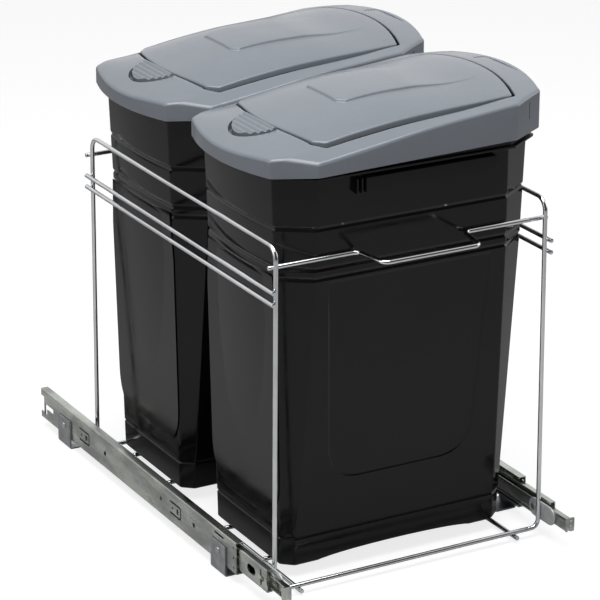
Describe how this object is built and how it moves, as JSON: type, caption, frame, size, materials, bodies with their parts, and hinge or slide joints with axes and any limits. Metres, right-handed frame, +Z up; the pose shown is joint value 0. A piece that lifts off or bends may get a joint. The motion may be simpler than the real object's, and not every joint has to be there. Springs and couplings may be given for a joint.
{
  "type": "pull out trash cabinet",
  "caption": "Pull-out waste unit: a chromed wire basket on telescopic slides carries tall plastic bins with hinged, latched lids.",
  "frame": {"origin": "bottom centre of the bounding box: on the cabinet floor, midway between the slides", "axes": "+Z up, -Y the way the basket pulls out, +X to the hinged end of the lids"},
  "size_m": [0.3728, 0.5994, 0.5166],
  "materials": {
    "chrome_wire": "bright chromed steel wire",
    "zinc_plate": "zinc-plated sheet steel",
    "dark_zinc": "dull zinc-plated sheet steel",
    "ball_steel": "polished bearing steel",
    "black_plastic": "glossy moulded black plastic",
    "grey_plastic": "softly glossy blue-grey moulded plastic"
  },
  "bodies": {
    "slide_base": {"slide_outer_left": "zinc_plate", "foot_front_left": "dark_zinc", "foot_rivet_front_left": "zinc_plate", "foot_rear_left": "dark_zinc", "foot_rivet_rear_left": "zinc_plate", "slide_outer_right": "zinc_plate", "foot_front_right": "dark_zinc", "foot_rivet_front_right": "zinc_plate", "foot_rear_right": "dark_zinc", "foot_rivet_rear_right": "zinc_plate"},
    "middle_members": {"slide_middle_left": "zinc_plate", "slide_middle_right": "zinc_plate"},
    "basket": {"slide_inner_left": "zinc_plate", "joining_plate_front_left": "zinc_plate", "plate_rivet_front_left": "zinc_plate", "joining_plate_rear_left": "zinc_plate", "plate_rivet_rear_left": "zinc_plate", "end_plate_left": "zinc_plate", "slide_inner_right": "zinc_plate", "joining_plate_front_right": "zinc_plate", "plate_rivet_front_right": "zinc_plate", "joining_plate_rear_right": "zinc_plate", "plate_rivet_rear_right": "zinc_plate", "end_plate_right": "zinc_plate", "side_arch_left": "chrome_wire", "side_wire_upper_left": "chrome_wire", "side_wire_lower_left": "chrome_wire", "runner_wire_left": "chrome_wire", "side_arch_right": "chrome_wire", "side_wire_upper_right": "chrome_wire", "side_wire_lower_right": "chrome_wire", "runner_wire_right": "chrome_wire", "bottom_wire_front": "chrome_wire", "bottom_wire_rear": "chrome_wire", "handle_wire": "chrome_wire", "rear_crossbar": "chrome_wire", "cross_wire_front_first": "chrome_wire", "cross_wire_front_second": "chrome_wire", "cross_wire_rear_first": "chrome_wire", "cross_wire_rear_second": "chrome_wire"},
    "outer_ball_cages": {"ball_cage_outer_left": "ball_steel", "ball_cage_outer_right": "ball_steel"},
    "inner_ball_cages": {"ball_cage_inner_left": "ball_steel", "ball_cage_inner_right": "ball_steel"},
    "bin_front": {"bin_front": "black_plastic"},
    "lid_front": {"lid_frame_front": "grey_plastic", "hinge_pin_front": "zinc_plate"},
    "flap_front": {"lid_flap_front": "grey_plastic"},
    "latch_front": {"lid_latch_front": "grey_plastic"},
    "bin_rear": {"bin_rear": "black_plastic"},
    "lid_rear": {"lid_frame_rear": "grey_plastic", "hinge_pin_rear": "zinc_plate"},
    "flap_rear": {"lid_flap_rear": "grey_plastic"},
    "latch_rear": {"lid_latch_rear": "grey_plastic"}
  },
  "joints": [
    {"name": "basket_slide", "type": "slide", "parent": "slide_base", "child": "basket", "axis": [0, -1, 0], "range_m": [-0.0975, 0.4]},
    {"name": "middle_slide", "type": "slide", "parent": "slide_base", "child": "middle_members", "axis": [0, -1, 0], "range_m": [-0.064, 0.261]},
    {"name": "outer_cage_roll", "type": "slide", "parent": "slide_base", "child": "outer_ball_cages", "axis": [0, -1, 0], "range_m": [-0.032, 0.131]},
    {"name": "inner_cage_roll", "type": "slide", "parent": "slide_base", "child": "inner_ball_cages", "axis": [0, -1, 0], "range_m": [-0.081, 0.331]},
    {"name": "bin_lift_front", "type": "slide", "parent": "basket", "child": "bin_front", "axis": [0, 0, 1], "range_m": [0, 0.42]},
    {"name": "lid_lift_front", "type": "slide", "parent": "bin_front", "child": "lid_front", "axis": [0, 0, 1], "range_m": [0, 0.12]},
    {"name": "flap_hinge_front", "type": "hinge", "parent": "lid_front", "child": "flap_front", "pos_m": [0.1215, -0.14608, 0.49833], "axis": [0, 1, 0], "range_deg": [0, 100]},
    {"name": "latch_slide_front", "type": "slide", "parent": "lid_front", "child": "latch_front", "axis": [-1, 0, 0], "range_m": [0, 0.004], "stiffness_N_per_m": 400},
    {"name": "bin_lift_rear", "type": "slide", "parent": "basket", "child": "bin_rear", "axis": [0, 0, 1], "range_m": [0, 0.42]},
    {"name": "lid_lift_rear", "type": "slide", "parent": "bin_rear", "child": "lid_rear", "axis": [0, 0, 1], "range_m": [0, 0.12]},
    {"name": "flap_hinge_rear", "type": "hinge", "parent": "lid_rear", "child": "flap_rear", "pos_m": [0.1195, 0.08392, 0.49833], "axis": [0, 1, 0], "range_deg": [0, 100]},
    {"name": "latch_slide_rear", "type": "slide", "parent": "lid_rear", "child": "latch_rear", "axis": [-1, 0, 0], "range_m": [0, 0.004], "stiffness_N_per_m": 400}
  ],
  "couplings": [
    {"joint": "middle_slide", "follows": "basket_slide", "ratio": 0.65},
    {"joint": "outer_cage_roll", "follows": "basket_slide", "ratio": 0.325},
    {"joint": "inner_cage_roll", "follows": "basket_slide", "ratio": 0.825}
  ]
}
